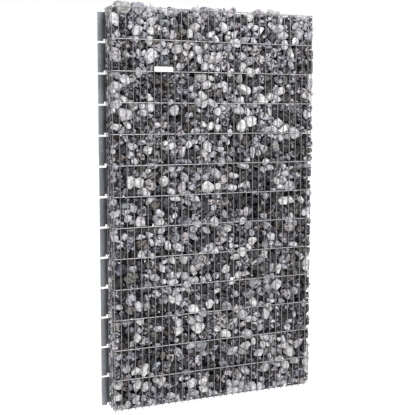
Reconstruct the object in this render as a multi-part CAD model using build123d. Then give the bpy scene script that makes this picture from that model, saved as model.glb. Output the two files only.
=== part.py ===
from build123d import *
import os

# Gabion wall panel: a welded wire basket, slim and tall, filled with loose
# stone. Millimetres. X runs along the wall, +Y goes from the front face to the
# back, +Z is up. The origin is on the floor under the middle of the panel.

# ---- driving dimensions -----------------------------------------------------
ROWS = 13                # mesh rows, bottom to top
ROW = 200.0              # height of one mesh row
COLS = 30                # full mesh columns
PITCH = 46.6             # spacing of the upright wires
CORNER_GAP = 32.0        # last, narrower column at the right corner
UP = 5.0                 # upright wire
LEV = 6.0                # level wire
WELD = 1.0               # how far an upright sinks into a level wire
TOOTH = 7.0              # upright wire ends below the lowest level wire
TOP_END = 2.0            # upright wire ends above the highest level wire
RETURN = 156.0           # front level wire axis to the slotted strips
TAIL = 8.0               # level wires pass this far behind the strips
SIDE_UPRIGHTS = (42.1, 88.7, 135.3)   # depth of the uprights on a side

STRIP_T = 4.0            # slotted strip, sheet thickness
STRIP_W = 100.0          # its width
STRIP_OUT = 47.0         # how far it stands out past the side mesh
STRIP_LOW = -8.0         # its lower end, from the lowest level wire's axis
STRIP_HIGH = -22.0       # its upper end, from the highest level wire's axis
SLOT_LOW, SLOT_HIGH = -18.0, -5.0     # slot, from the level wire's axis
NOTCH_W = 23.0           # inner notch, where the wire sits
NOTCH_HIGH = 8.0
LEAD_R = 7.0             # rounded lead-in at each slot's lower lip

GAP = 1.0                # stone fill to the wires
HEAP = 62.0              # heaped stone above the highest level wire
TAG_W, TAG_H, TAG_T = 124.0, 31.0, 1.0

# ---- derived ----------------------------------------------------------------
HALF = (COLS * PITCH + CORNER_GAP) / 2          # corner uprights at +-HALF
Z0 = TOOTH + LEV / 2                            # axis of the lowest level wire
LEVELS = [Z0 + ROW * j for j in range(ROWS + 1)]
TOP = LEVELS[-1]
FRONT_Y = -LEV / 2 + WELD - UP                  # front plane of the uprights
BACK_Y = RETURN + STRIP_T                       # back plane
SHIFT = -((FRONT_Y - TAG_T) + (BACK_Y + TAIL)) / 2   # centres the depth on Y = 0
UPRIGHTS = [-HALF + PITCH * i for i in range(COLS + 1)] + [HALF]
SIDE_X = HALF - UP / 2 + WELD                   # outer face of a side level wire
CUT = Z0 + ROW * 6.5                            # the tall meshes are cut here


def bar(x0, x1, y0, y1, z0, z1):
    """A straight bar of rectangular section between two corners."""
    return Solid.make_box(x1 - x0, y1 - y0, z1 - z0).moved(
        Location((x0, y0 + SHIFT, z0))
    )


def lattice(bars):
    """Level and upright bars fused where they cross."""
    first, rest = bars[0], bars[1:]
    made = first.fuse(*rest)
    solids = made.solids() if hasattr(made, "solids") else [made]
    assert len(solids) == 1, len(solids)
    return solids[0]


nodes = {}

# ---- front mesh -------------------------------------------------------------
def front(levels, z0, z1):
    bars = [
        bar(-HALF - UP / 2, HALF + UP / 2, -LEV / 2, LEV / 2, z - LEV / 2, z + LEV / 2)
        for z in levels
    ]
    bars += [bar(x - UP / 2, x + UP / 2, FRONT_Y, FRONT_Y + UP, z0, z1) for x in UPRIGHTS]
    return lattice(bars)


nodes["front_mesh_lower"] = front([z for z in LEVELS if z < CUT], 0, CUT)
nodes["front_mesh_upper"] = front(
    [z for z in LEVELS if z > CUT], CUT, TOP + LEV / 2 + TOP_END
)

# ---- side meshes: the returns of the same mat, ending in the strips' notches --
def side(sign):
    def sbar(a, b, *rest):
        return bar(min(sign * a, sign * b), max(sign * a, sign * b), *rest)

    bars = [
        sbar(SIDE_X, SIDE_X - LEV, LEV / 2, BACK_Y + TAIL, z - LEV / 2, z + LEV / 2)
        for z in LEVELS
    ]
    bars += [
        sbar(HALF + UP / 2, HALF - UP / 2, y - UP / 2, y + UP / 2, 0,
             TOP + LEV / 2 + TOP_END)
        for y in SIDE_UPRIGHTS
    ]
    return lattice(bars)


nodes["left_side_mesh"] = side(-1)
nodes["right_side_mesh"] = side(1)

# ---- rear mesh: flat, its level wires welded to the strips' inner halves ------
STRIP_IN = HALF + STRIP_OUT - STRIP_W           # inner edge of a strip
REAR_END = HALF - 18.0                          # ends of the rear level wires
REAR_UPRIGHTS = [
    x for x in UPRIGHTS if abs(x) + UP / 2 < STRIP_IN - 5
]


def rear(levels, z0, z1):
    bars = [
        bar(-REAR_END, REAR_END, RETURN - LEV, RETURN, z - LEV / 2, z + LEV / 2)
        for z in levels
    ]
    bars += [
        bar(x - UP / 2, x + UP / 2, BACK_Y - UP, BACK_Y, z0, z1) for x in REAR_UPRIGHTS
    ]
    return lattice(bars)


nodes["rear_mesh_lower"] = rear([z for z in LEVELS if z < CUT], 0, CUT)
nodes["rear_mesh_upper"] = rear(
    [z for z in LEVELS if z > CUT], CUT, TOP + LEV / 2 + TOP_END
)

# ---- base mesh: carries the stone, between front and rear level wires ---------
CROSS_Z = Z0 - UP / 2
bars = [
    bar(x - UP / 2, x + UP / 2, LEV / 2, RETURN - LEV, CROSS_Z, CROSS_Z + UP)
    for x in UPRIGHTS[1:-1]
]
bars += [
    bar(-SIDE_X + LEV, SIDE_X - LEV, y - LEV / 2, y + LEV / 2,
        CROSS_Z + UP - WELD, CROSS_Z + UP - WELD + LEV)
    for y in (50.0, 101.0)
]
nodes["base_mesh"] = lattice(bars)
FLOOR = CROSS_Z + UP - WELD + LEV

# ---- slotted strips ---------------------------------------------------------
def strip(sign):
    outer = HALF + STRIP_OUT
    low, high = Z0 + STRIP_LOW, TOP + STRIP_HIGH
    notch_mid = SIDE_X - LEV / 2 + 2.0
    n0, n1 = notch_mid - NOTCH_W / 2, notch_mid + NOTCH_W / 2
    # the outline runs up the inner edge, then down the slotted outer edge
    edges = []
    at = [(STRIP_IN, low)]

    def to(x, z):
        a = at[0]
        edges.append(Edge.make_line((sign * a[0], 0, a[1]), (sign * x, 0, z)))
        at[0] = (x, z)

    def lead(x, z, cx, cz):
        """A quarter round from here to (x, z), about (cx, cz)."""
        a = at[0]
        k = LEAD_R * 0.7071067811865476
        mid = (cx + k, cz + k)
        edges.append(
            Edge.make_three_point_arc(
                (sign * a[0], 0, a[1]), (sign * mid[0], 0, mid[1]), (sign * x, 0, z)
            )
        )
        at[0] = (x, z)

    to(STRIP_IN, high)
    to(outer - LEAD_R, high)
    lead(outer, high - LEAD_R, outer - LEAD_R, high - LEAD_R)
    for z in reversed(LEVELS[1:-1]):
        to(outer, z + SLOT_HIGH)
        to(n1, z + SLOT_HIGH)
        to(n1, z + NOTCH_HIGH)
        to(n0, z + NOTCH_HIGH)
        to(n0, z + SLOT_LOW)
        to(outer - LEAD_R, z + SLOT_LOW)
        lead(outer, z + SLOT_LOW - LEAD_R, outer - LEAD_R, z + SLOT_LOW - LEAD_R)
    to(outer, low)
    to(n1, low)
    to(n1, Z0 + NOTCH_HIGH)
    to(n0, Z0 + NOTCH_HIGH)
    to(n0, low)
    to(STRIP_IN, low)
    face = Face(Wire(edges))
    if face.normal_at().Y < 0:
        face = -face
    return Solid.extrude(face, Vector(0, STRIP_T, 0)).moved(
        Location((0, RETURN + SHIFT, 0))
    )


nodes["left_slotted_strip"] = strip(-1)
nodes["right_slotted_strip"] = strip(1)

# ---- stone fill, one course of the fill for each mesh row ---------------------
FX = SIDE_X - LEV - GAP
FY0, FY1 = LEV / 2 + GAP, RETURN - LEV - GAP
for j in range(ROWS):
    z0 = LEVELS[j] if j else FLOOR
    nodes[f"stone_fill_row_{j + 1:02d}"] = bar(-FX, FX, FY0, FY1, z0, LEVELS[j + 1])

# ---- heaped stone over the open top -------------------------------------------
base = Plane.XY.offset(TOP) * Pos(0, (FY0 + FY1) / 2 + SHIFT) * Rectangle(
    2 * FX, FY1 - FY0
)
crown = Plane.XY.offset(TOP + HEAP) * Pos(0, (FY0 + FY1) / 2 + SHIFT) * Rectangle(
    2 * FX - 60, FY1 - FY0 - 50
)
nodes["stone_heap_top"] = loft([base, crown], ruled=True).solid()

# ---- blank tag on the front mesh ------------------------------------------------
tag_x = UPRIGHTS[6] + 1.0
tag_z = LEVELS[ROWS - 2] + LEV / 2 - 3.0
nodes["blank_tag"] = bar(
    tag_x, tag_x + TAG_W, FRONT_Y - TAG_T, FRONT_Y, tag_z, tag_z + TAG_H
)

# ---- write ------------------------------------------------------------------
os.makedirs("parts", exist_ok=True)
for name, solid in nodes.items():
    export_step(solid, f"parts/{name}.step")
print(len(nodes), "nodes")
print("uprights", len(UPRIGHTS), "rear uprights", len(REAR_UPRIGHTS), "SHIFT", SHIFT)
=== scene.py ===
import bpy
import math
import numpy as np
from mathutils import Matrix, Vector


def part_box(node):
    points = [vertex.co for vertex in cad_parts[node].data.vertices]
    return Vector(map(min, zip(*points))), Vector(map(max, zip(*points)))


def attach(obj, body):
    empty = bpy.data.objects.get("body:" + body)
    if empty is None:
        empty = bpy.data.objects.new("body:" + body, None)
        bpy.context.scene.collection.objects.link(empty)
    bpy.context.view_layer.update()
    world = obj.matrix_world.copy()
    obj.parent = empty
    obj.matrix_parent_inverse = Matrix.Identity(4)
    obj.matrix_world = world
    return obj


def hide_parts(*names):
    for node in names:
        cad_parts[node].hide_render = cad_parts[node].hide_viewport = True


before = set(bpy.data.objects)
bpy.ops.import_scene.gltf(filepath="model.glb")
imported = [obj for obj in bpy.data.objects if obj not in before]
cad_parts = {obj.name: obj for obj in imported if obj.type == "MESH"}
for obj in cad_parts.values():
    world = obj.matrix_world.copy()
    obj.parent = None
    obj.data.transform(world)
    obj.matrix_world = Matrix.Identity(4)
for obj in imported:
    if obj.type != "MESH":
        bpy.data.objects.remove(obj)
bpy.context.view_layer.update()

# ---- the panel's own grid, in metres, from the CAD nodes' boxes ----------------
lo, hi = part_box("front_mesh_lower")
WIRE_X0, WIRE_X1 = lo[0] + 0.0025, hi[0] - 0.0025      # corner uprights' axes
FRONT = lo[1]                                          # front plane of the uprights
LEVEL_Y = hi[1] - 0.003                                # axis of the front level wires
Z_LOW = 0.010                                          # axis of the lowest level wire
ROWS, ROW = 13, 0.2
LEVELS = [Z_LOW + ROW * j for j in range(ROWS + 1)]
TOP = LEVELS[-1]
PITCH = 0.0466
UPRIGHTS = [WIRE_X0 + PITCH * i for i in range(31)]
lo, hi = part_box("left_side_mesh")
SIDE_X = -(lo[0] + 0.007)                              # axis of the side level wires
SIDE_END = hi[1]                                       # their ends behind the strips
lo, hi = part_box("rear_mesh_lower")
REAR_LEVEL_Y, REAR_BACK = lo[1] + 0.003, hi[1]
REAR_END = hi[0]
SIDE_UP_Y = [FRONT + 0.007 + d for d in (0.0421, 0.0887, 0.1353)]
UP_R, LEV_R = 0.0025, 0.003
rng = np.random.default_rng(20)


# ---- mesh helpers ---------------------------------------------------------------
def mesh_object(name, verts, faces, smooth=True):
    me = bpy.data.meshes.new(name)
    verts = np.asarray(verts, np.float32)
    me.vertices.add(len(verts))
    me.vertices.foreach_set("co", verts.ravel())
    sizes = np.array([len(f) for f in faces], np.int32)
    me.loops.add(int(sizes.sum()))
    me.loops.foreach_set("vertex_index", np.concatenate([np.asarray(f) for f in faces]).astype(np.int32))
    me.polygons.add(len(sizes))
    starts = np.concatenate([[0], np.cumsum(sizes)[:-1]]).astype(np.int32)
    me.polygons.foreach_set("loop_start", starts)
    me.polygons.foreach_set("use_smooth", np.full(len(sizes), smooth))
    me.update(calc_edges=True)
    ob = bpy.data.objects.new(name, me)
    bpy.context.collection.objects.link(ob)
    return ob


class Builder:
    def __init__(self):
        self.v, self.f, self.n = [], [], 0

    def add(self, v, f):
        self.v.append(np.asarray(v, float))
        self.f += [tuple(i + self.n for i in q) for q in f]
        self.n += len(v)

    def tube(self, path, radius, sides=10):
        """A round wire along a polyline, its two ends cut square with a slight burr."""
        p = np.asarray(path, float)
        d = np.diff(p, axis=0)
        d /= np.linalg.norm(d, axis=1)[:, None]
        t = np.vstack([d[:1], d[:-1] + d[1:], d[-1:]])
        t /= np.linalg.norm(t, axis=1)[:, None]
        ref = np.array([0, 0, 1.0]) if abs(t[0][2]) < 0.9 else np.array([0, 1.0, 0])
        n = np.cross(t[0], ref)
        n /= np.linalg.norm(n)
        rings, a = [], np.arange(sides) * 2 * math.pi / sides
        for i in range(len(p)):
            n = n - t[i] * (n @ t[i])
            n /= np.linalg.norm(n)
            b = np.cross(t[i], n)
            rings.append(p[i] + radius * (np.cos(a)[:, None] * n + np.sin(a)[:, None] * b))
        rings = [p[0] + (rings[0] - p[0]) * 0.8] + [r + t[0] * 0.0006 * (k == 0) for k, r in enumerate(rings)]
        rings[-1] = rings[-1] - t[-1] * 0.0006
        rings.append(p[-1] + (rings[-1] + t[-1] * 0.0006 - p[-1]) * 0.8)
        v = np.vstack(rings)
        f, m = [], len(rings)
        for i in range(m - 1):
            for k in range(sides):
                k2 = (k + 1) % sides
                f.append((i * sides + k, i * sides + k2, (i + 1) * sides + k2, (i + 1) * sides + k))
        f.append(tuple(range(sides))[::-1])
        f.append(tuple((m - 1) * sides + k for k in range(sides)))
        self.add(v, f)

    def blob(self, c, r, squash, rings=3, sides=6):
        """A weld's squeezed bead."""
        v = [(c[0], c[1] - r * squash, c[2])]
        for i in range(1, rings + 1):
            th = math.pi * i / (rings + 1)
            for k in range(sides):
                ph = 2 * math.pi * (k + 0.5 * (i % 2)) / sides
                v.append((c[0] + r * math.sin(th) * math.cos(ph), c[1] - r * squash * math.cos(th), c[2] + r * math.sin(th) * math.sin(ph)))
        v.append((c[0], c[1] + r * squash, c[2]))
        f = [(0, 1 + k, 1 + (k + 1) % sides) for k in range(sides)]
        for i in range(rings - 1):
            for k in range(sides):
                k2 = (k + 1) % sides
                a, b = 1 + i * sides, 1 + (i + 1) * sides
                f.append((a + k, b + k, b + k2, a + k2))
        last = len(v) - 1
        a = 1 + (rings - 1) * sides
        f += [(a + k, last, a + (k + 1) % sides) for k in range(sides)]
        self.add(v, f)

    def make(self, name):
        return mesh_object(name, np.vstack(self.v), self.f)


# ---- wires ------------------------------------------------------------------------
BEND = 0.006
CORNER = 0.00178                     # corner uprights sit on the bends


def upright(b, x, y, z1=None):
    """An upright wire, with the small straightness error of drawn wire."""
    z1 = z1 if z1 is not None else TOP + 0.005 - rng.uniform(0, 0.0012)
    zs = np.linspace(rng.uniform(0, 0.0010), z1, 15)
    ax, ay = rng.uniform(-0.0005, 0.0005, 2)
    ph = rng.uniform(0, 6.28, 2)
    xs = x + ax * np.sin(zs * 2.3 + ph[0])
    ys = y + 0.4 * abs(ay) * np.sin(zs * 1.7 + ph[1])
    b.tube(np.stack([xs, ys, zs], 1), UP_R, 10)


def level(b, z):
    """One level wire of the bent mat, from the left strip round the front to the right strip."""
    q = [(-SIDE_X, SIDE_END, z)]
    q += [(-SIDE_X, y, z) for y in np.linspace(SIDE_END - 0.01, LEVEL_Y + BEND + 0.001, 5)]
    for a in np.linspace(0, math.pi / 2, 6):
        q.append((-SIDE_X + BEND - BEND * math.cos(a), LEVEL_Y + BEND - BEND * math.sin(a), z))
    for x in np.linspace(-SIDE_X + BEND + 0.01, SIDE_X - BEND - 0.01, 25):
        q.append((x, LEVEL_Y, z))
    for a in np.linspace(math.pi / 2, 0, 6):
        q.append((SIDE_X - BEND + BEND * math.cos(a), LEVEL_Y + BEND - BEND * math.sin(a), z))
    q += [(SIDE_X, y, z) for y in np.linspace(LEVEL_Y + BEND + 0.001, SIDE_END - 0.01, 5)]
    q.append((SIDE_X, SIDE_END, z))
    q = np.array(q)
    q[:, 2] += 0.0006 * np.sin(q[:, 0] * rng.uniform(2, 5) + rng.uniform(0, 6))
    b.tube(q, LEV_R, 10)


mat_level, mat_up, rear, base = Builder(), Builder(), Builder(), Builder()
for z in LEVELS:
    level(mat_level, z)
cx = SIDE_X - CORNER + 0.0035
cy = LEVEL_Y + CORNER - 0.0035
for x in [-cx] + UPRIGHTS[1:] + [cx]:
    y = cy if abs(x) == cx else FRONT + UP_R
    upright(mat_up, x, y)
    for z in LEVELS:
        if abs(x) != cx:
            mat_up.blob((x, LEVEL_Y - 0.0022, z), 0.0036, 0.62)
for s in (-1, 1):
    for y in SIDE_UP_Y:
        upright(mat_up, s * (SIDE_X + 0.0045), y)
for z in LEVELS:
    rear.tube([(x, REAR_LEVEL_Y, z) for x in np.linspace(-REAR_END, REAR_END, 24)], LEV_R, 10)
rear_x = [x for x in UPRIGHTS if abs(x) < 0.655]
for x in rear_x:
    upright(rear, x, REAR_BACK - UP_R)
    for z in LEVELS:
        rear.blob((x, REAR_LEVEL_Y + 0.0022, z), 0.0036, 0.62)
lo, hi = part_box("base_mesh")
for x in UPRIGHTS[1:]:
    base.tube([(x, y, Z_LOW) for y in np.linspace(lo[1] - 0.001, hi[1] + 0.001, 4)], UP_R, 8)
BASE_RAILS = (lo[1] + 0.047, lo[1] + 0.098)
for y in BASE_RAILS:
    base.tube([(x, y, hi[2] - 0.003) for x in np.linspace(lo[0], hi[0], 20)], LEV_R, 8)
mat_level = mat_level.make("mesh_mat_level_wires")
mat_up = mat_up.make("mesh_mat_upright_wires")
rear = rear.make("rear_mesh_wires")
base = base.make("base_mesh_wires")
for ob in (mat_level, mat_up):
    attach(ob, "root")
    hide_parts("front_mesh_lower", "front_mesh_upper", "left_side_mesh", "right_side_mesh")
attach(rear, "root")
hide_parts("rear_mesh_lower", "rear_mesh_upper")
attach(base, "root")
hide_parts("base_mesh")


# ---- stones: sites -------------------------------------------------------------------
lo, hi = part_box("stone_fill_row_01")
FX0, FX1 = lo[0] - 0.001, hi[0] + 0.001        # the side level wires' inner faces
FY0, FY1 = lo[1] - 0.001, hi[1] + 0.001        # front and rear level wires' inner faces
FZ0 = lo[2] + 0.0005
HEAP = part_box("stone_heap_top")[1][2]


def crest(x):
    """Height of the heap along the wall: it slopes down at both ends."""
    left = np.clip((-x - 0.640) / 0.065, 0, 1)
    right = np.clip((x - 0.655) / 0.05, 0, 1)
    return TOP + 0.010 + 0.006 * np.sin(x * 5.1 + 0.6) + 0.005 * np.sin(x * 12.7 + 2.0) - 0.095 * left ** 2 - 0.05 * right ** 2


def rotations(n):
    q = rng.normal(size=(n, 4))
    q /= np.linalg.norm(q, axis=1, keepdims=True)
    w, x, y, z = q.T
    return np.stack([
        np.stack([1 - 2 * (y * y + z * z), 2 * (x * y - z * w), 2 * (x * z + y * w)], 1),
        np.stack([2 * (x * y + z * w), 1 - 2 * (x * x + z * z), 2 * (y * z - x * w)], 1),
        np.stack([2 * (x * z - y * w), 2 * (y * z + x * w), 1 - 2 * (x * x + y * y)], 1)], 1)


def near_pairs(p, r, slack):
    """Pairs closer than the sum of their reaches and the slack, by slabs of height."""
    order = np.argsort(p[:, 2])
    z = p[order, 2]
    reach = 2 * r.max() + slack
    ii, jj = [], []
    step = 200
    for s in range(0, len(order), step):
        a = order[s:s + step]
        e = np.searchsorted(z, z[min(s + step, len(z)) - 1] + reach)
        b = order[s:e]
        d2 = ((p[a][:, None, :] - p[b][None, :, :]) ** 2).sum(2)
        lim = r[a][:, None] + r[b][None, :] + slack
        x, y = np.nonzero(d2 < lim * lim)
        keep = y > x
        ii.append(a[x[keep]])
        jj.append(b[y[keep]])
    return np.concatenate(ii), np.concatenate(jj)


def extent(m, u):
    """How far an ellipsoid with inverse-square matrix m reaches along unit direction u."""
    return 1 / np.sqrt(np.einsum("pi,pij,pj->p", u, m, u))


def sites():
    vol = (FX1 - FX0 + 0.014) * (FY1 - FY0 + 0.004) * (TOP + 0.030 - 0.004)
    r, total = [], 0.0
    while total < 0.74 * vol:
        if rng.uniform() < 0.12:
            x = rng.uniform(0.0115, 0.0165)
        else:
            x = float(np.clip(rng.lognormal(math.log(0.0268), 0.28), 0.0165, 0.0480))
        r.append(x)
        total += 4 / 3 * math.pi * x ** 3
    r = np.array(r)
    n = len(r)
    form = np.stack([rng.uniform(1.12, 1.90, n), rng.uniform(0.84, 1.12, n), rng.uniform(0.60, 0.90, n)], 1)
    form /= np.prod(form, 1)[:, None] ** (1 / 3)
    axes = r[:, None] * form
    rot = rotations(n)
    # the two large pale stones at the heap's left end
    r[:2], rot[:2] = (0.044, 0.038), np.eye(3)
    axes[:2] = (0.056, 0.037, 0.043), (0.045, 0.034, 0.040)
    crown = np.array([(WIRE_X0 + 0.083, FY0 + 0.036, TOP - 0.011), (WIRE_X0 + 0.179, FY0 + 0.034, TOP - 0.008)])
    m = np.einsum("nij,nj,nkj->nik", rot, 1 / axes ** 2, rot)
    p = np.stack([rng.uniform(FX0 + 0.02, FX1 - 0.02, n), rng.uniform(FY0 + 0.02, FY1 - 0.02, n), rng.uniform(FZ0 + 0.02, TOP + 0.01, n)], 1)
    far = axes.max(1)
    box_reach = 1 / np.sqrt(np.einsum("nii->ni", m))           # a little short of the true half width
    for it in range(240):
        if it % 8 == 0:
            i, j = near_pairs(p, far, 0.010)
        d = p[j] - p[i]
        dist = np.maximum(np.linalg.norm(d, axis=1), 1e-6)
        u = d / dist[:, None]
        over = extent(m[i], u) + extent(m[j], u) - dist
        k = over > 0
        push = u[k] * (over[k] * 0.24)[:, None]
        np.add.at(p, i[k], -push)
        np.add.at(p, j[k], push)
        # the stones at the two front corners were pressed into them by hand
        corner = (np.abs(p[:, 0]) > FX1 - 0.050) & (p[:, 1] < FY0 + 0.048)
        p[corner, 0] += 0.0006 * np.sign(p[corner, 0])
        p[corner, 1] -= 0.0004
        q = 0.90 * box_reach
        p[:, 0] = np.clip(p[:, 0], FX0 - 0.013 + q[:, 0], FX1 + 0.022 - q[:, 0])
        p[:, 1] = np.clip(p[:, 1], FY0 - 0.003 + q[:, 1], FY1 + 0.003 - q[:, 1])
        p[:, 2] = np.maximum(p[:, 2], 0.007 + q[:, 2])
        p[:, 2] = np.minimum(p[:, 2], crest(p[:, 0]) - 0.8 * q[:, 2])
        p[:2] = crown
    # small stones lodged in the voids of the core
    gx, gy = np.meshgrid(np.arange(FX0 + 0.001, FX1 + 0.005, 0.009), (FY0 + FY1) / 2 + np.array([-0.060, -0.042, -0.021, 0.0, 0.021, 0.042]), indexing="ij")
    gx, gy = gx.ravel(), gy.ravel()
    spots, room = [], []
    for z in np.arange(0.017, TOP - 0.012, 0.009):
        near = np.nonzero(np.abs(p[:, 2] - z) < far + 0.012)[0]
        q = np.stack([gx, gy, np.full(gx.size, z)], 1)
        d = q[:, None, :] - p[near][None]
        dist = np.linalg.norm(d, axis=2)
        u = d / np.maximum(dist, 1e-6)[:, :, None]
        free = (dist - 0.88 / np.sqrt(np.einsum("qni,nij,qnj->qn", u, m[near], u, optimize=True))).min(1)
        # behind the front face only, but for the foot and the two corners
        good = (free > 0.0064) & ((gy > FY0 + 0.022) | (z < 0.045) | (np.abs(gx) > FX1 - 0.024))
        spots.append(q[good])
        room.append(free[good])
    spots, room = np.concatenate(spots), np.concatenate(room)
    taken = np.zeros((0, 3))
    size = []
    for k in np.argsort(-room):
        if len(size) >= 5400:
            break
        if len(taken) and ((taken - spots[k]) ** 2).sum(1).min() < 0.0142 ** 2:
            continue
        taken = np.vstack([taken, spots[k]])
        size.append(min(1.25 * room[k], 0.0164))
    size = np.array(size)
    k = len(size)
    form = np.stack([rng.uniform(1.05, 1.35, k), rng.uniform(0.9, 1.1, k), rng.uniform(0.75, 0.95, k)], 1)
    rot_k = rotations(k)
    m_k = np.einsum("nij,nj,nkj->nik", rot_k, 1 / (size[:, None] * form) ** 2, rot_k)
    print("lodged", k)
    return (np.concatenate([p, taken]), np.concatenate([r, size]), np.concatenate([axes, size[:, None] * form]),
            np.concatenate([rot, rot_k]), np.concatenate([m, m_k]), np.concatenate([far, (size[:, None] * form).max(1)]), np.arange(n + k) >= n)


P, R, AXES, ROT, FORM, FAR, LODGED = sites()
N = len(R)
print("stones", N)


# ---- stones: an octahedron-based sphere -----------------------------------------------
def octasphere(n):
    """Unit directions, triangles, and corner positions in a unit square, with no overlap."""
    verts, index, tris, uvs = [], {}, [], []

    def vert(x, y):
        # (x, y) on the unfolded octahedron, -n..n, folded back to its lower half
        z = n - abs(x) - abs(y)
        if z < 0:
            x, y = (1 if x >= 0 else -1) * (n - abs(y)), (1 if y >= 0 else -1) * (n - abs(x))
        k = (x, y, z)
        if k not in index:
            index[k] = len(verts)
            v = np.array(k, float) / n
            v = np.sign(v) * np.sin(np.abs(v) * math.pi / 2)
            verts.append(v / np.linalg.norm(v))
        return index[k]

    for i in range(-n, n):
        for j in range(-n, n):
            a, b, c, d = (i, j), (i + 1, j), (i + 1, j + 1), (i, j + 1)
            two = ((a, b, d), (b, c, d)) if (i + 0.5) * (j + 0.5) > 0 else ((a, b, c), (a, c, d))
            for t in two:
                tris.append([vert(*q) for q in t])
                uvs.append([((q[0] + n) / (2 * n), (q[1] + n) / (2 * n)) for q in t])
    verts, tris, uvs = np.array(verts), np.array(tris), np.array(uvs)
    c = verts[tris]
    flip = (np.cross(c[:, 1] - c[:, 0], c[:, 2] - c[:, 0]) * c.mean(1)).sum(1) < 0
    tris[flip], uvs[flip] = tris[flip][:, ::-1], uvs[flip][:, ::-1]
    return verts, tris, uvs


SPHERES = {n: octasphere(n) for n in (2, 4, 5, 6, 7)}


# ---- stones: shapes ---------------------------------------------------------------------
def neighbours(k_max):
    i, j = near_pairs(P, FAR, 0.012)
    a, b = np.concatenate([i, j]), np.concatenate([j, i])
    d = P[b] - P[a]
    dist = np.linalg.norm(d, axis=1)
    u = d / dist[:, None]
    ea, eb = extent(FORM[a], u), extent(FORM[b], u)
    order = np.lexsort((dist - ea - eb, a))
    a, u, cut = a[order], u[order], (dist * ea / (ea + eb))[order]
    start = np.searchsorted(a, np.arange(N))
    end = np.searchsorted(a, np.arange(N), side="right")
    nrm, dd = np.zeros((N, k_max, 3)), np.full((N, k_max), 9.0)
    nrm[:, :, 2] = 1
    for s in range(N):
        m = min(k_max, end[s] - start[s])
        nrm[s, :m], dd[s, :m] = u[start[s]:start[s] + m], cut[start[s]:start[s] + m] - 0.0006
    return nrm, dd


PLANE_N, PLANE_D = neighbours(18)
shape_rng = np.random.default_rng(31)


def unit(n):
    v = shape_rng.normal(size=n + (3,))
    return v / np.linalg.norm(v, axis=-1, keepdims=True)


# The wires and the base hold the stones in. A stone above a level wire rests on it and
# stands a little proud of it; one below has settled away from it.
above = P[:, 2:3] - np.array(LEVELS)[None, :]
nearest = np.argmin(np.abs(above), axis=1)
above = above[np.arange(N), nearest]
level_z = np.array(LEVELS)[nearest]
edge_stone = (P[:, 1] - FY0 < 1.1 * FAR) | (FY1 - P[:, 1] < 1.1 * FAR)
rests = edge_stone & (above > 0.42 * R) & (above < 1.1 * R) & (nearest > 0)
hangs = edge_stone & (above < -0.30 * R) & (above > -1.3 * FAR)
near_level = (np.abs(above) < 0.95 * R) & ~rests & ~hangs
near_up = np.min(np.abs(P[:, 0:1] - np.array(UPRIGHTS + [cx])[None, :]), axis=1) < 0.7 * R
front_y = np.where(near_level, FY0 + 0.0004, np.where(near_up, FRONT + 2 * UP_R + 0.0004, FRONT + 0.002))
rear_y = np.where(near_level, FY1 - 0.0004, np.where(near_up, REAR_BACK - 2 * UP_R - 0.0004, REAR_BACK - 0.002))
proud = shape_rng.uniform(size=N)
proud = np.where(P[:, 0] < 0, 0.002 + 0.019 * proud ** 2.4, 0.016 + 0.010 * proud)      # the left end was laid flatter
side_x = np.where(near_level, SIDE_X - LEV_R - 0.0004, SIDE_X + proud)
base_z = 0.007


def touching(i, j, wi, wj, radius):
    """Planes of each stone that just touch straight wires, given in two axes as (N, wires)."""
    di, dj = np.broadcast_arrays(wi - P[:, i:i + 1], wj - P[:, j:j + 1])
    dist = np.hypot(di, dj)
    near = np.argsort(dist, axis=1)[:, :2]
    pick = np.arange(N)[:, None]
    di, dj, dist = di[pick, near], dj[pick, near], dist[pick, near]
    for k in range(2):
        nrm = np.zeros((N, 3))
        nrm[:, i], nrm[:, j] = di[:, k] / dist[:, k], dj[:, k] / dist[:, k]
        yield nrm, np.maximum(dist[:, k] - radius - 0.0004, 0.004)


# stones bulge out between the side uprights and the corner one, and sink between the
# base's wires
one = np.ones((N, 1))
side = np.where(P[:, :1] < 0, -1.0, 1.0)
walls = list(touching(0, 1, side * np.array([[SIDE_X + 0.0045] * 3 + [cx]]), one * np.array([SIDE_UP_Y + [cy]]), UP_R))
walls += list(touching(0, 2, one * np.array([UPRIGHTS[1:]]), one * Z_LOW, UP_R))
walls += list(touching(1, 2, one * np.array([BASE_RAILS]), one * (Z_LOW + 0.0045), LEV_R))
for nrm, dd in (
    ((0, -1, 0), P[:, 1] - front_y),
    ((0, 1, 0), rear_y - P[:, 1]),
    ((-1, 0, 0), P[:, 0] + side_x),
    ((1, 0, 0), side_x - P[:, 0]),
    ((0, 0, -1), P[:, 2] - np.where(rests, level_z + 0.0034, base_z)),
    ((0, 0, 1), np.where(hangs, level_z - 0.0052 - 0.010 * shape_rng.uniform(size=N) ** 2, HEAP - 0.001) - P[:, 2]),
):
    walls.append((np.tile(np.array(nrm, float), (N, 1)), np.maximum(dd, 0.004)))
PLANE_N = np.concatenate([PLANE_N, np.stack([w[0] for w in walls], 1)], 1)
PLANE_D = np.concatenate([PLANE_D, np.stack([w[1] for w in walls], 1)], 1)
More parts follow.
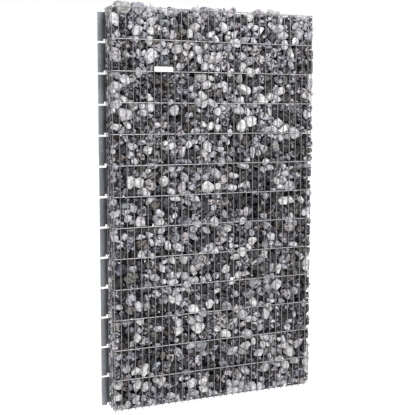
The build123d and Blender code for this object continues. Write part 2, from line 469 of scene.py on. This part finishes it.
# each stone's own broken faces, in the space where its ellipsoid is a unit ball:
# half are blocks with six skewed faces and a few chips, a quarter are three-sided
# wedges, the rest are rounder
FACETS = 12
FACET_N = unit((N, FACETS))
FACET_D = shape_rng.uniform(0.55, 0.80, (N, FACETS))
block = shape_rng.uniform(size=N) < 0.60
cube = np.array([(1, 0, 0), (-1, 0, 0), (0, 1, 0), (0, -1, 0), (0, 0, 1), (0, 0, -1)], float)
skew = cube[None] + shape_rng.normal(0, 0.27, (N, 6, 3))
skew /= np.linalg.norm(skew, axis=-1, keepdims=True)
FACET_N[block, :6] = skew[block]
FACET_D[block, :6] = shape_rng.uniform(0.47, 0.66, (N, 6))[block]
FACET_D[block, 6:] = shape_rng.uniform(0.74, 1.15, (N, 6))[block]
wedge = ~block & (shape_rng.uniform(size=N) < 0.55)
turn = shape_rng.uniform(0, 6.28, N)[:, None] + np.array([0.0, 2.1, 4.2])[None, :] + shape_rng.normal(0, 0.22, (N, 3))
prism = np.stack([np.stack([np.cos(turn[:, k]), np.sin(turn[:, k]), shape_rng.normal(0, 0.18, N)], 1) for k in range(3)], 1)
prism /= np.linalg.norm(prism, axis=-1, keepdims=True)
# the wedge's length lies along its longest axis
FACET_N[wedge, :3] = prism[:, :, [2, 0, 1]][wedge]
FACET_D[wedge, :3] = shape_rng.uniform(0.38, 0.52, (N, 3))[wedge]
FACET_D[wedge, 3:] = shape_rng.uniform(0.64, 1.0, (N, 9))[wedge]
SWELL = np.where(block | wedge, shape_rng.uniform(1.58, 1.78, N), shape_rng.uniform(1.36, 1.54, N))
POW = shape_rng.choice([22.0, 34.0, 50.0, 70.0], N, p=[0.2, 0.3, 0.3, 0.2])
FACET_N[:2, :6] = cube + 0.35 * (skew[:2] - cube)
FACET_N[:2, :6] /= np.linalg.norm(FACET_N[:2, :6], axis=-1, keepdims=True)
FACET_D[:2, :6], FACET_D[:2, 6:], SWELL[:2], POW[:2] = 0.61, 0.80, 1.62, 20.0
WAVE_D, WAVE_F, WAVE_P = unit((N, 5)), shape_rng.uniform(2.2, 7.5, (N, 5)), shape_rng.uniform(0, 6.28, (N, 5))
WAVE_A = shape_rng.uniform(0.004, 0.020, (N, 5))


def shape(ids, n):
    """Vertices of these stones, each on the sphere of that fineness."""
    V = SPHERES[n][0]
    # each sphere is turned with its stone so that its grid never lines up
    dirs = np.einsum("sij,vj->svi", ROT[ids], V)
    p = POW[ids][:, None]
    ball = V[None] / (AXES[ids] * SWELL[ids][:, None])[:, None, :]
    total = (ball ** 2).sum(2) ** (p / 2)
    for k in range(FACETS):
        dot = np.einsum("si,svi->sv", FACET_N[ids, k], ball)
        total += (np.maximum(dot, 0) / FACET_D[ids, k][:, None]) ** p
    for k in range(PLANE_N.shape[1]):
        dot = np.einsum("si,svi->sv", PLANE_N[ids, k], dirs)
        total += (np.maximum(dot, 0) / PLANE_D[ids, k][:, None]) ** p
    rad = total ** (-1 / p)
    wave = 0
    for k in range(5):
        wave = wave + WAVE_A[ids, k][:, None] * np.sin(WAVE_F[ids, k][:, None] * np.einsum("si,svi->sv", WAVE_D[ids, k], dirs) + WAVE_P[ids, k][:, None])
    rad = rad * (0.985 + np.minimum(wave, 0.012))
    return P[ids][:, None, :] + rad[:, :, None] * dirs


# ---- stones: colours ----------------------------------------------------------------------
col_rng = np.random.default_rng(44)
#    pale colour            dark colour              share of pale  odds
TONES = (
    ((0.622, 0.609, 0.640), (0.130, 0.126, 0.143), (0.84, 0.99), 0.255), # white marble
    ((0.470, 0.457, 0.490), (0.0230, 0.0218, 0.0266), (0.46, 0.78), 0.25), # pale, clouded
    ((0.305, 0.310, 0.336), (0.036, 0.037, 0.043), (0.40, 0.80), 0.03),  # bluish
    ((0.365, 0.350, 0.391), (0.0066, 0.0060, 0.0083), (0.22, 0.52), 0.26), # dark, clouded
    ((0.170, 0.157, 0.148), (0.0130, 0.0115, 0.0105), (0.20, 0.60), 0.07), # olive brown
    ((0.178, 0.167, 0.192), (0.0050, 0.0045, 0.0064), (0.14, 0.46), 0.135), # charcoal
)
# the loads were tipped in batches, so pale and dark stones lie a little in drifts
drift = 0.045 * np.sin(P[:, 0] * 6.1 + 1.9 * np.sin(P[:, 2] * 2.3) + 0.4) + 0.04 * np.sin(P[:, 2] * 7.7 + 2.2 * np.sin(P[:, 0] * 3.1) + 1.0)
drift += -0.028 + 0.105 * np.exp(-((P[:, 2] - 1.25) / 0.45) ** 2) - 0.08 * np.clip((P[:, 2] - 1.70) / 0.5, 0, 1)
odds = np.cumsum([t[3] for t in TONES])
kind = np.minimum(np.searchsorted(odds, np.clip(col_rng.uniform(size=N) + drift, 0, 0.9999)), len(TONES) - 1)
crowning = P[:, 2] > TOP - 0.004
kind[crowning] = col_rng.choice([0, 0, 0, 1], crowning.sum())
shoulder = ~crowning & (P[:, 2] > TOP - 0.036) & (kind > 2)
kind[shoulder] = np.random.default_rng(6).choice([0, 1, 1, 3], shoulder.sum())
corner = (P[:, 0] < FX0 + 0.052) & (P[:, 2] > crest(P[:, 0]) - 0.045)
kind[corner] = np.random.default_rng(5).choice([0, 0, 1], corner.sum())
floor_bounce_pale = (P[:, 2] < Z_LOW + 0.034) & (P[:, 1] < FY0 + 0.045)      # painted light: the lowest front stones get pale kinds, standing in for the white floor's bounce light
kind[floor_bounce_pale] = col_rng.choice([0, 0, 1, 1, 3], floor_bounce_pale.sum())
chinks = LODGED & (P[:, 1] < FY0 + 0.022) & ~floor_bounce_pale                        # in the shade between the others
kind[chinks] = col_rng.choice([3, 5, 5], chinks.sum())
lo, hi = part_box("blank_tag")
by_tag = (P[:, 0] > lo[0] - 0.03) & (P[:, 0] < hi[0] + 0.03) & (P[:, 2] > lo[2] - 0.05) & (P[:, 2] < hi[2] + 0.05) & (kind < 2)
kind[by_tag] = 3
glow = np.exp(np.clip(col_rng.normal(-0.02, 0.13, N), -0.32, 0.08))
vivid = np.array([0.55, 0.85, 0.8, 1.6, 1.7, 2.4])[kind]       # whites are the most even
warm, rosy = col_rng.normal(size=N), vivid * col_rng.normal(0, 0.012, N)
warm = vivid * 0.030 * np.clip((np.exp(0.55 * warm) - 1.163) / 0.691, -1.5, 2.4)      # most a little cool, a few brown
tint = np.stack([1 + warm, 1 - rosy, 1 - warm], 1) * glow[:, None]
PALE = np.clip(np.array([t[0] for t in TONES])[kind] * tint, 0.005, 0.63)
DARK = np.clip(np.array([t[1] for t in TONES])[kind] * tint, 0.005, 0.60)
PALE[crowning] *= 0.80                               # the crest's stones: pale tone dimmed by a fifth, dark tone tripled
DARK[crowning] *= 3.0
# painted light from the floor: the dark tone of the lowest front stones is lifted
DARK[floor_bounce_pale] *= 1.4
# what stands on a level wire catches the light, what hangs below it lies in its shade
lit = np.where(rests & edge_stone, 1.10, np.where(hangs & edge_stone, 0.88, 1.0))[:, None]
PALE *= lit
DARK *= lit
low_, high_ = np.array([t[2] for t in TONES])[kind].T
SHARE = col_rng.uniform(low_, high_)
PALE[0], DARK[0], SHARE[0] = (0.42, 0.42, 0.415), (0.25, 0.25, 0.245), 0.88
PALE[1], DARK[1], SHARE[1] = (0.36, 0.363, 0.395), (0.17, 0.17, 0.195), 0.75
SEED = col_rng.uniform(-3, 3, (N, 3))


def stone_piece(name, ids_by_n, node):
    v, f, uv, tone, vein, seed, n0 = [], [], [], [], [], [], 0
    count = sum(len(i) for i in ids_by_n.values())
    grid = math.ceil(math.sqrt(count))
    cell = 0
    for n, ids in ids_by_n.items():
        if not len(ids):
            continue
        V, F, U = SPHERES[n]
        pts = shape(ids, n)
        s, m = pts.shape[:2]
        v.append(pts.reshape(-1, 3))
        f.append((F[None] + (n0 + np.arange(s) * m)[:, None, None]).reshape(-1, 3))
        c = cell + np.arange(s)
        origin = np.stack([c % grid, c // grid], 1)[:, None, None, :]
        uv.append(((origin + 0.03 + 0.94 * U[None]) / grid).reshape(-1, 2))
        tone.append(np.repeat(np.hstack([PALE[ids], np.ones((s, 1))]), m, 0))
        vein.append(np.repeat(np.hstack([DARK[ids], SHARE[ids][:, None]]), m, 0))
        seed.append(np.repeat(SEED[ids], m, 0))
        n0 += s * m
        cell += s
    v, f = np.concatenate(v), np.concatenate(f)
    me = bpy.data.meshes.new(name)
    me.vertices.add(len(v))
    me.vertices.foreach_set("co", v.astype(np.float32).ravel())
    me.loops.add(f.size)
    me.loops.foreach_set("vertex_index", f.astype(np.int32).ravel())
    me.polygons.add(len(f))
    me.polygons.foreach_set("loop_start", np.arange(0, f.size, 3, dtype=np.int32))
    me.polygons.foreach_set("use_smooth", np.ones(len(f), bool))
    me.update(calc_edges=True)
    layer = me.uv_layers.new(name="OFBake")
    layer.data.foreach_set("uv", np.concatenate(uv).astype(np.float32).ravel())
    for key, data, kind_ in (("pale", tone, "FLOAT_COLOR"), ("dark", vein, "FLOAT_COLOR"), ("seed", seed, "FLOAT_VECTOR")):
        at = me.attributes.new(key, kind_, "POINT")
        at.data.foreach_set("color" if kind_ == "FLOAT_COLOR" else "vector", np.concatenate(data).astype(np.float32).ravel())
    me.set_sharp_from_angle(angle=math.radians(27))
    ob = bpy.data.objects.new(name, me)
    bpy.context.collection.objects.link(ob)
    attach(ob, "root")
    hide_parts(node)
    return ob, len(f)


depth = np.minimum.reduce([P[:, 1] - FY0 - 0.8 * FAR, P[:, 0] - FX0 - 0.8 * FAR, FX1 - P[:, 0] - 0.8 * FAR, crest(P[:, 0]) - P[:, 2] - 1.2 * FAR])
back = FY1 - P[:, 1] - 0.8 * FAR
core_shade = np.clip((np.minimum(depth, back) - 0.005) / 0.013, 0, 1)[:, None]
PALE *= 1 - 0.80 * core_shade                        # painted shade: the stones deep in the fill are darkened, standing in for the little light that reaches the core
DARK *= 1 - 0.72 * core_shade
fine = np.where(depth < 0.006, np.where(R > 0.0255, 7, np.where(R > 0.0165, 5, 4)), np.where(back < 0.006, 4, np.where(np.minimum(depth, back) < 0.011, 4, 2)))
row_of = np.clip(((P[:, 2] - Z_LOW) / ROW).astype(int), 0, ROWS)
row_of[P[:, 2] > TOP - 0.002] = ROWS
stones, total = [], 0
for j in range(ROWS + 1):
    ids = {int(n): np.nonzero((row_of == j) & (fine == n))[0] for n in SPHERES}
    name = "stone_heap" if j == ROWS else f"stones_row_{j + 1:02d}"
    node = "stone_heap_top" if j == ROWS else f"stone_fill_row_{j + 1:02d}"
    ob, t = stone_piece(name, ids, node)
    stones.append(ob)
    total += t
print("stone triangles", total, "fine", {int(n): int((fine == n).sum()) for n in SPHERES})


# ---- tag ---------------------------------------------------------------------------------------
lo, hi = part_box("blank_tag")


def tag():
    b = Builder()
    w, h, t = hi[0] - lo[0], hi[2] - lo[2], hi[1] - lo[1]
    m, r, ring = (lo + hi) / 2, 0.003, []
    for sx, sz, a0 in ((1, 1, 0), (-1, 1, 90), (-1, -1, 180), (1, -1, 270)):
        for a in np.linspace(a0, a0 + 90, 5):
            ring.append((sx * (w / 2 - r) + r * math.cos(math.radians(a)), sz * (h / 2 - r) + r * math.sin(math.radians(a))))
    ring = np.array(ring)
    rows = []
    for k, dy in ((0.985, -t / 2), (1.0, -t / 2 + 0.0002), (1.0, t / 2 - 0.0002), (0.985, t / 2)):
        rows.append(np.stack([m[0] + ring[:, 0] * k, np.full(len(ring), m[1] + dy), m[2] + ring[:, 1] * k], 1))
    v = np.vstack(rows)
    n = len(ring)
    f = []
    for i in range(3):
        for k in range(n):
            f.append((i * n + k, (i + 1) * n + k, (i + 1) * n + (k + 1) % n, i * n + (k + 1) % n))
    f.append(tuple(range(n)))
    f.append(tuple(3 * n + k for k in range(n))[::-1])
    b.add(v, f)
    return b.make("tag_plate")


tag_ob = tag()
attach(tag_ob, "root")
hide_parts("blank_tag")


# ---- materials -----------------------------------------------------------------------------------
def material(name):
    mat = bpy.data.materials.new(name)
    mat.use_nodes = True
    nt = mat.node_tree
    return mat, nt, nt.nodes["Principled BSDF"]


class Nodes:
    def __init__(self, nt):
        self.nt = nt

    def new(self, kind, **at):
        n = self.nt.nodes.new(kind)
        for k, v in at.items():
            if k == "inputs":
                for i, x in v.items():
                    n.inputs[i].default_value = x
            else:
                setattr(n, k, v)
        return n

    def link(self, a, b):
        self.nt.links.new(a, b)

    def math(self, op, a, b=None, c=None, clamp=False):
        n = self.nt.nodes.new("ShaderNodeMath")
        n.operation, n.use_clamp = op, clamp
        for i, x in enumerate((a, b, c)):
            if x is None:
                continue
            if isinstance(x, (int, float)):
                n.inputs[i].default_value = x
            else:
                self.link(x, n.inputs[i])
        return n.outputs[0]

    def ramp(self, x, a, b, lo_=0.0, hi_=1.0, smooth=True):
        n = self.nt.nodes.new("ShaderNodeMapRange")
        n.interpolation_type = "SMOOTHSTEP" if smooth else "LINEAR"
        self.link(x, n.inputs["Value"])
        n.inputs["From Min"].default_value, n.inputs["From Max"].default_value = a, b
        n.inputs["To Min"].default_value, n.inputs["To Max"].default_value = lo_, hi_
        return n.outputs[0]

    def mix(self, fac, a, b, blend="MIX"):
        n = self.nt.nodes.new("ShaderNodeMix")
        n.data_type, n.blend_type = "RGBA", blend
        for i, x in ((0, fac), (6, a), (7, b)):
            if isinstance(x, (int, float, tuple)):
                n.inputs[i].default_value = x
            else:
                self.link(x, n.inputs[i])
        return n.outputs[2]

    def noise(self, vec, scale, detail=3.0, rough=0.5, dist=0.0):
        n = self.new("ShaderNodeTexNoise", inputs={"Scale": scale, "Detail": detail, "Roughness": rough, "Distortion": dist})
        self.link(vec, n.inputs["Vector"])
        return n.outputs["Fac"]


def stone_material():
    mat, nt, bsdf = material("broken_marble")
    g = Nodes(nt)
    pale = g.new("ShaderNodeAttribute", attribute_name="pale")
    dark = g.new("ShaderNodeAttribute", attribute_name="dark")
    seed = g.new("ShaderNodeAttribute", attribute_name="seed")
    tc = g.new("ShaderNodeTexCoord")
    add = g.new("ShaderNodeVectorMath", operation="ADD")
    g.link(tc.outputs["Object"], add.inputs[0])
    g.link(seed.outputs["Vector"], add.inputs[1])
    at = add.outputs[0]
    share = dark.outputs["Alpha"]
    # clouds of the pale and the dark stone, in the share that this stone has
    cloud = g.noise(at, 39.0, 3.0, 0.56, 0.8)
    edge = g.ramp(share, 0.0, 1.0, 0.70, 0.30, False)
    mask = g.ramp(g.math("SUBTRACT", cloud, edge), -0.022, 0.022, 0.0, 1.0)
    # thin seams where a warped noise crosses its middle
    warp = g.noise(at, 24.0, 2.0, 0.5, 2.2)
    seam = g.ramp(g.math("ABSOLUTE", g.math("SUBTRACT", warp, 0.5)), 0.003, 0.024, 1.0, 0.0)
    warp2 = g.noise(at, 70.0, 2.0, 0.5, 1.6)
    seam2 = g.ramp(g.math("ABSOLUTE", g.math("SUBTRACT", warp2, 0.46)), 0.0, 0.022, 0.75, 0.0)
    seams = g.math("MAXIMUM", seam, seam2)
    # a seam is dark in pale stone and pale in dark stone
    flip = g.ramp(share, 0.42, 0.58, 1.0, 0.0)
    toward = g.math("MULTIPLY", seams, 0.55)
    pale_seams = g.math("MAXIMUM", mask, g.math("MULTIPLY", toward, flip))
    dark_seams = g.math("MULTIPLY", pale_seams, g.math("SUBTRACT", 1.0, g.math("MULTIPLY", toward, g.math("SUBTRACT", 1.0, flip))))
    fine_ = g.noise(at, 260.0, 3.0, 0.62)
    mixed = g.math("ADD", dark_seams, g.ramp(fine_, 0.32, 0.68, -0.18, 0.16, False), clamp=True)
    base_ = g.mix(mixed, dark.outputs["Color"], pale.outputs["Color"])
    shade = g.ramp(g.noise(at, 52.0, 3.0, 0.55), 0.30, 0.70, 0.44, 1.38, False)
    col = g.new("ShaderNodeVectorMath", operation="SCALE")
    g.link(base_, col.inputs[0])
    g.link(shade, col.inputs["Scale"])
    g.link(col.outputs[0], bsdf.inputs["Base Color"])
    g.link(g.ramp(fine_, 0.3, 0.7, 0.60, 0.80, False), bsdf.inputs["Roughness"])
    bsdf.inputs["Specular IOR Level"].default_value = 0.3
    bump = g.new("ShaderNodeBump", inputs={"Strength": 0.75, "Distance": 0.0020})
    height = g.math("ADD", g.math("MULTIPLY", g.noise(at, 110.0, 5.0, 0.62), 1.0), g.math("MULTIPLY", g.noise(at, 420.0, 3.0, 0.6), 0.35))
    g.link(height, bump.inputs["Height"])
    g.link(bump.outputs[0], bsdf.inputs["Normal"])
    return mat


def zinc_material(name, low, high, spangle):
    mat, nt, bsdf = material(name)
    g = Nodes(nt)
    tc = g.new("ShaderNodeTexCoord")
    at = tc.outputs["Object"]
    bsdf.inputs["Metallic"].default_value = 0.85
    cells = g.new("ShaderNodeTexVoronoi", feature="F1", inputs={"Scale": spangle, "Randomness": 1.0})
    g.link(at, cells.inputs["Vector"])
    tint = g.new("ShaderNodeSeparateColor")
    g.link(cells.outputs["Color"], tint.inputs[0])
    dull = g.noise(at, 7.0, 5.0, 0.65)
    streak = g.new("ShaderNodeMapping", inputs={"Scale": (30.0, 30.0, 1.6)})
    g.link(at, streak.inputs["Vector"])
    streaks = g.noise(streak.outputs[0], 1.0, 4.0, 0.6)
    fac = g.math("ADD", g.math("MULTIPLY", tint.outputs[0], 0.25), g.math("MULTIPLY", g.math("ADD", dull, streaks), 0.42), clamp=True)
    g.link(g.mix(g.ramp(fac, 0.25, 0.85, 0.0, 1.0, False), low, high), bsdf.inputs["Base Color"])
    g.link(g.ramp(g.math("ADD", g.math("MULTIPLY", tint.outputs[1], 0.5), dull), 0.3, 1.1, 0.32, 0.55, False), bsdf.inputs["Roughness"])
    bump = g.new("ShaderNodeBump", inputs={"Strength": 0.25, "Distance": 0.0004})
    g.link(g.noise(at, 420.0, 3.0, 0.6), bump.inputs["Height"])
    g.link(bump.outputs[0], bsdf.inputs["Normal"])
    return mat


def lit_foot_shaded_top(mat):
    """Painted light: the zinc lightened towards white in the last centimetres above the floor, standing in for the lit
    floor; painted shade: darker on the topmost wire, against the light from above.
    """
    nt = mat.node_tree
    g = Nodes(nt)
    base_in = nt.nodes["Principled BSDF"].inputs["Base Color"]
    before = base_in.links[0].from_socket
    at = g.new("ShaderNodeTexCoord").outputs["Object"]
    xyz = g.new("ShaderNodeSeparateXYZ")
    g.link(at, xyz.inputs[0])
    ragged = g.math("MULTIPLY", g.noise(at, 22.0, 3.0, 0.6), 0.02)
    # painted light: lighter towards the floor
    floor_light_mask = g.ramp(g.math("ADD", xyz.outputs["Z"], ragged), 0.020, 0.050, 1.0, 0.0)
    # painted shade: darker on the topmost wire
    topmost = g.ramp(xyz.outputs["Z"], TOP - 0.030, TOP - 0.010, 0.0, 1.0)
    top_shade_col = g.mix(topmost, before, (0.74, 0.74, 0.75, 1), "MULTIPLY")
    nt.links.new(g.mix(g.math("MULTIPLY", floor_light_mask, 0.80), top_shade_col, (0.90, 0.90, 0.91, 1)), base_in)
    return mat


def strip_material():
    """The same zinc as the wires, with painted shade on its front face, darkest beside the stones, and a painted
    highlight along its outer edge.
    """
    mat = zinc_material("galvanised_sheet", (0.196, 0.213, 0.231, 1), (0.405, 0.43, 0.455, 1), 95.0)
    nt = mat.node_tree
    g = Nodes(nt)
    base_in = nt.nodes["Principled BSDF"].inputs["Base Color"]
    before = base_in.links[0].from_socket
    at = g.new("ShaderNodeTexCoord").outputs["Object"]
    xyz = g.new("ShaderNodeSeparateXYZ")
    g.link(at, xyz.inputs[0])
    out = g.math("ABSOLUTE", xyz.outputs["X"])
    stretch = g.new("ShaderNodeMapping", inputs={"Scale": (26.0, 26.0, 5.0)})
    g.link(at, stretch.inputs["Vector"])
    ragged = g.math("MULTIPLY", g.math("SUBTRACT", g.noise(stretch.outputs[0], 1.0, 4.0, 0.6), 0.5), 0.035)
    hi_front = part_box("left_slotted_strip")[0][1] + 0.0004
    # painted shade on the front face, darkening towards the stones
    stone_side_shade = g.ramp(g.math("ADD", out, ragged), 0.716, 0.750, 1.0, 0.0)
    # painted highlight: the outer edge is lightened
    edge = g.ramp(out, 0.7575, 0.7615, 0.0, 1.0)
    front = g.ramp(xyz.outputs["Y"], hi_front, hi_front + 0.0012, 1.0, 0.0)
    speck = g.ramp(g.noise(at, 160.0, 4.0, 0.7), 0.35, 0.75, 0.92, 0.70, False)
    dull = g.mix(g.math("MULTIPLY", g.math("MULTIPLY", stone_side_shade, front), speck), before, (0.22, 0.225, 0.22, 1), "MULTIPLY")
    nt.links.new(g.mix(g.math("MULTIPLY", edge, 0.42), dull, (0.70, 0.71, 0.72, 1)), base_in)
    return mat


def tag_material():
    mat, nt, bsdf = material("white_plastic_tag")
    g = Nodes(nt)
    at = g.new("ShaderNodeTexCoord").outputs["Object"]
    g.link(g.mix(g.ramp(g.noise(at, 30.0, 4.0, 0.6), 0.3, 0.75), (0.86, 0.86, 0.85, 1), (0.80, 0.80, 0.78, 1)), bsdf.inputs["Base Color"])
    g.link(g.ramp(g.noise(at, 90.0, 3.0, 0.6), 0.3, 0.7, 0.38, 0.55, False), bsdf.inputs["Roughness"])
    return mat


stone_mat = stone_material()
# the level wires take a lighter copy of the zinc and the uprights, rear and base wires a darker one: painted light and
# shade, as if only the level wires caught the light from above
level_mat = lit_foot_shaded_top(zinc_material("galvanised_level_wire", (0.305, 0.302, 0.316, 1), (0.56, 0.555, 0.573, 1), 150.0))
shaded_upright_mat = zinc_material("galvanised_upright_wire", (0.165, 0.165, 0.172, 1), (0.35, 0.35, 0.36, 1), 150.0)
sheet_mat = strip_material()
for ob in stones:
    ob.data.materials.append(stone_mat)
for ob, m_ in ((mat_level, level_mat), (mat_up, shaded_upright_mat), (rear, shaded_upright_mat), (base, shaded_upright_mat)):
    ob.data.materials.append(m_)
tag_ob.data.materials.append(tag_material())
for name in ("left_slotted_strip", "right_slotted_strip"):
    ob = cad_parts[name]
    ob.data.materials.clear()
    ob.data.materials.append(sheet_mat)


# ---- floor, light, camera ----------------------------------------------------------------------------
def floor():
    s = 30.0
    ob = mesh_object("studio_floor", [(-s, -s, 0), (s, -s, 0), (s, s, 0), (-s, s, 0)], [(0, 1, 2, 3)], smooth=False)
    mat, nt, bsdf = material("studio_floor")
    g = Nodes(nt)
    at = g.new("ShaderNodeTexCoord").outputs["Object"]
    g.link(g.mix(g.noise(at, 3.0, 3.0, 0.5), (0.86, 0.86, 0.86, 1), (0.88, 0.88, 0.88, 1)), bsdf.inputs["Base Color"])
    bsdf.inputs["Roughness"].default_value = 0.9
    # a light table glowing evenly, and more strongly in a band along the wall's foot: painted light that fills in the
    # foot's shadow; no glow under the wall itself
    xyz = g.new("ShaderNodeSeparateXYZ")
    g.link(at, xyz.inputs[0])
    away_x, away_y = g.math("ABSOLUTE", xyz.outputs["X"]), g.math("ABSOLUTE", xyz.outputs["Y"])
    past = g.math("MAXIMUM", g.ramp(away_x, 0.675, 0.690, 0.0, 1.0), g.ramp(away_y, 0.042, 0.058, 0.0, 1.0))
    near = g.math("MULTIPLY", g.ramp(away_x, 0.735, 0.80, 1.0, 0.0), g.ramp(away_y, 0.10, 0.16, 1.0, 0.0))
    # painted light: the extra glow in the band along the wall's foot
    glow = g.math("ADD", g.math("MULTIPLY", past, 0.20), g.math("MULTIPLY", g.math("MULTIPLY", past, near), 0.45))
    bsdf.inputs["Emission Color"].default_value = (1.0, 1.0, 1.0, 1.0)
    g.link(glow, bsdf.inputs["Emission Strength"])
    ob.data.materials.append(mat)


floor()
world = bpy.data.worlds.new("studio")
bpy.context.scene.world = world
world.use_nodes = True
wn = world.node_tree.nodes["Background"]
wn.inputs["Strength"].default_value = 1.0
wg = Nodes(world.node_tree)
sky = wg.new("ShaderNodeSeparateXYZ")
wg.link(wg.new("ShaderNodeTexCoord").outputs["Generated"], sky.inputs[0])
horizon = wg.mix(wg.ramp(sky.outputs["Z"], 0.17, 0.34), (1.0, 1.0, 1.0, 1), (0.50, 0.50, 0.50, 1))
wg.link(wg.mix(wg.ramp(sky.outputs["Z"], 0.50, 0.85), horizon, (1.8, 1.8, 1.8, 1)), wn.inputs["Color"])


def area(name, where, at, size, power):
    data = bpy.data.lights.new(name, "AREA")
    data.shape, data.size, data.size_y, data.energy = "RECTANGLE", size[0], size[1], power
    ob = bpy.data.objects.new(name, data)
    bpy.context.collection.objects.link(ob)
    d = np.array(at, float) - np.array(where, float)
    from mathutils import Vector
    ob.location = where
    ob.rotation_mode = "QUATERNION"
    ob.rotation_quaternion = Vector(d).to_track_quat("-Z", "Y")


area("key", (0.5, -3.9, 6.0), (0, 0, 1.3), (2.4, 2.4), 200.0)

cam = bpy.data.cameras.new("camera")
cam_ob = bpy.data.objects.new("camera", cam)
bpy.context.collection.objects.link(cam_ob)
bpy.context.scene.camera = cam_ob
F_PX, PSI, TH, RO = 784.67, math.radians(22.365), math.radians(5.305), math.radians(0.043)
EYE = np.array([-1.3290, -4.8091, 1.9304])          # from the front left corner upright's foot
SHIFT_Y = -0.05
cp, sp, ct, st, cr, sr = math.cos(PSI), math.sin(PSI), math.cos(TH), math.sin(TH), math.cos(RO), math.sin(RO)
A = np.array([[cp, -sp, 0], [sp, cp, 0], [0, 0, 1.0]])
B = np.array([[1, 0, 0], [0, ct, -st], [0, st, ct]])
C = np.array([[cr, 0, sr], [0, 1, 0], [-sr, 0, cr]])
right, fwd, up = C @ B @ A
eye = EYE + np.array([WIRE_X0, LEVEL_Y, Z_LOW])
m = Matrix.Identity(4)
for i in range(3):
    m[i][0], m[i][1], m[i][2], m[i][3] = right[i], up[i], -fwd[i], eye[i]
cam_ob.matrix_world = m
cam.sensor_width = 36.0
cam.lens = 36.0 * F_PX / 415.0
cam.shift_y = SHIFT_Y
cam.dof.use_dof = False
bpy.context.scene.view_settings.view_transform = "Standard"
